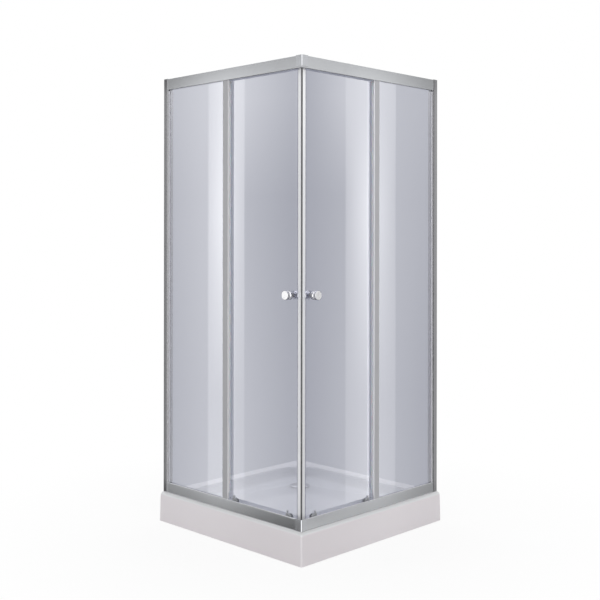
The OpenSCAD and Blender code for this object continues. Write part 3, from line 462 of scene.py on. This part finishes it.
def studio_wall(tree, place, height, wall):
    """A wall of the studio that stands parallel to one side of the cabin, with one bright panel on it.

    Places along the wall and heights are in millimetres, where the camera sees them mirrored in that side.
    A row gives the heights between which it takes over from the row below, and eight levels: before the
    cabin's corner, at the corner, just before the panel, at the panel's near edge, middle and far edge, just
    after it, and at the cabin's far end.
    """
    near, middle, far = wall["panel"]
    corner = (16, 22)
    blur = 4
    far_end = 838
    places = (*corner, near - blur, near + blur, middle, far - blur, far + blur, far_end)
    start, end = -100, 1300
    along = between(tree, place, start, end)
    mix = None
    for heights, levels in wall["rows"]:
        line = list(zip(places, levels)) + wall["beyond"]
        row = ramp(tree, along, [((u - start) / (end - start), level) for u, level in line])
        if mix is None:
            mix = row
        else:
            mix = mixed(tree, between(tree, height, *heights), mix, row)
    return mix


def world():
    """White behind the cabin, a soft grey through the glass, and a studio of bright panels in reflections."""
    made = bpy.data.worlds.new("studio")
    bpy.context.scene.world = made
    made.use_nodes = True
    tree = made.node_tree
    tree.nodes.clear()
    path = add(tree, "ShaderNodeLightPath")
    way = add(tree, "ShaderNodeSeparateXYZ", {"Vector": add(tree, "ShaderNodeTexCoord").outputs["Generated"]})
    x, y, z = way.outputs
    width = [calc(tree, "ABSOLUTE", axis) for axis in (x, y)]
    least_depth = 0.35
    depth = calc(tree, "MAXIMUM", calc(tree, "MINIMUM", *width), least_depth)
    slope = calc(tree, "DIVIDE", calc(tree, "MAXIMUM", *width), depth)
    rise = calc(tree, "DIVIDE", z, depth)
    front = between(tree, calc(tree, "SUBTRACT", x, y), 0.9, 1.25)
    studio = mixed(tree, front, (ROOM,) * 3, (FRONT,) * 3)
    off_left = (-FACE - CAMERA_AT.y) / MM
    off_right = (CAMERA_AT.x - FACE) / MM
    sides = ((-1, LEFT, off_left, off_right), (1, RIGHT, off_right, off_left))
    for sign, wall, off_side, off_corner in sides:
        place = calc(tree, "SUBTRACT", calc(tree, "MULTIPLY", slope, off_side), off_corner)
        height = calc(tree, "MULTIPLY_ADD", rise, off_side, CAMERA_AT.z / MM)
        mask = calc(tree, "MULTIPLY", calc(tree, "GREATER_THAN", calc(tree, "MULTIPLY", x, sign), 0),
                    calc(tree, "GREATER_THAN", calc(tree, "MULTIPLY", y, sign), 0))
        studio = mixed(tree, mask, studio, studio_wall(tree, place, height, wall))
    studio = mixed(tree, between(tree, z, 0.4, 0.6), studio, (CEILING,) * 3)
    light = mixed(tree, path.outputs["Is Glossy Ray"], (WORLD_LIGHT,) * 3, studio)
    light = mixed(tree, path.outputs["Is Transmission Ray"], light, BEHIND_GLASS)
    light = mixed(tree, path.outputs["Is Camera Ray"], light, (1.0, 1.0, 1.0))
    back = add(tree, "ShaderNodeBackground", {"Color": light, "Strength": 1.0})
    add(tree, "ShaderNodeOutputWorld", {"Surface": back.outputs[0]})


def lamp(name, azimuth, elevation, distance, size, level):
    """A soft square lamp. At a level of 1 it lights a white surface that faces it to white."""
    data = bpy.data.lights.new(name, "AREA")
    data.size = size
    data.energy = level * (math.pi * distance) ** 2
    made = bpy.data.objects.new(name, data)
    a, e = math.radians(azimuth), math.radians(elevation)
    away = Vector((math.sin(a) * math.cos(e), -math.cos(a) * math.cos(e), math.sin(e)))
    made.location = Vector((0, 0, 1)) + away * distance
    made.rotation_euler = away.to_track_quat("Z", "Y").to_euler()
    bpy.context.scene.collection.objects.link(made)


# How far the faces of the cabin's two sides stand from its middle
FACE = 0.428

# The studio's two walls, each with the near edge, middle and far edge of its panel, the levels past the
# cabin's far end, and the rows that studio_wall explains. The levels were set one by one.
LEFT = {
    "panel": (334, 485, 566),
    "beyond": [(846, 0.15), (1050, 0.15), (1200, 0.9)],
    "rows": [
        (None, (0, 0, 0.05, 0.2, 0.5, 0.55, 0.4, 0)),
        ((176, 184), (0.1, 0.7, 1.2, 1.5, 1.8, 1.7, 1.3, 0.9)),
        ((600, 1350), (1.0, 0.6, 1.1, 1.8, 2.9, 2.1, 1.5, 1.0)),
        ((1450, 1850), (1.8, 1.0, 1.7, 2.2, 2.6, 2.1, 1.7, 1.2)),
        ((1942, 1950), (0.75, 0.75, 0.8, 0.8, 0.9, 0.75, 0.7, 0.3)),
    ],
}
RIGHT = {
    "panel": (256, 400, 580),
    "beyond": [(848, 0.6), (1000, 0.5), (1300, 0.2)],
    "rows": [
        (None, (1.3, 1.3, 0.85, 0.85, 0.9, 0.8, 0.8, 0.1)),
        ((176, 184), (0.1, 0.6, 1.0, 1.3, 1.65, 1.3, 0.95, 0.65)),
        ((600, 1350), (1.0, 0.6, 0.95, 1.4, 2.7, 1.5, 1.1, 0.85)),
        ((1450, 1850), (1.8, 0.8, 1.55, 1.85, 2.2, 1.7, 1.2, 1.0)),
        ((1942, 1950), (1.1, 1.1, 0.9, 0.9, 1.1, 0.9, 0.85, 0.35)),
    ],
}

# What mirror rays meet elsewhere: the room, the part straight in front of the corner and the ceiling
ROOM = 0.9
FRONT = 3.0
CEILING = 1.6

# The even light on matt surfaces, and the grey that is seen through the panes
WORLD_LIGHT = 0.66
BEHIND_GLASS = (0.415, 0.425, 0.455)

make_camera()
floor()
world()
lamp("key", 75, 50, 4.5, 3.5, 0.2)
lamp("fill", -20, 55, 4.5, 2.2, 0.08)
lamp("back", 225, 60, 4.5, 4.0, 0.3)

bpy.context.scene.view_settings.view_transform = "Standard"
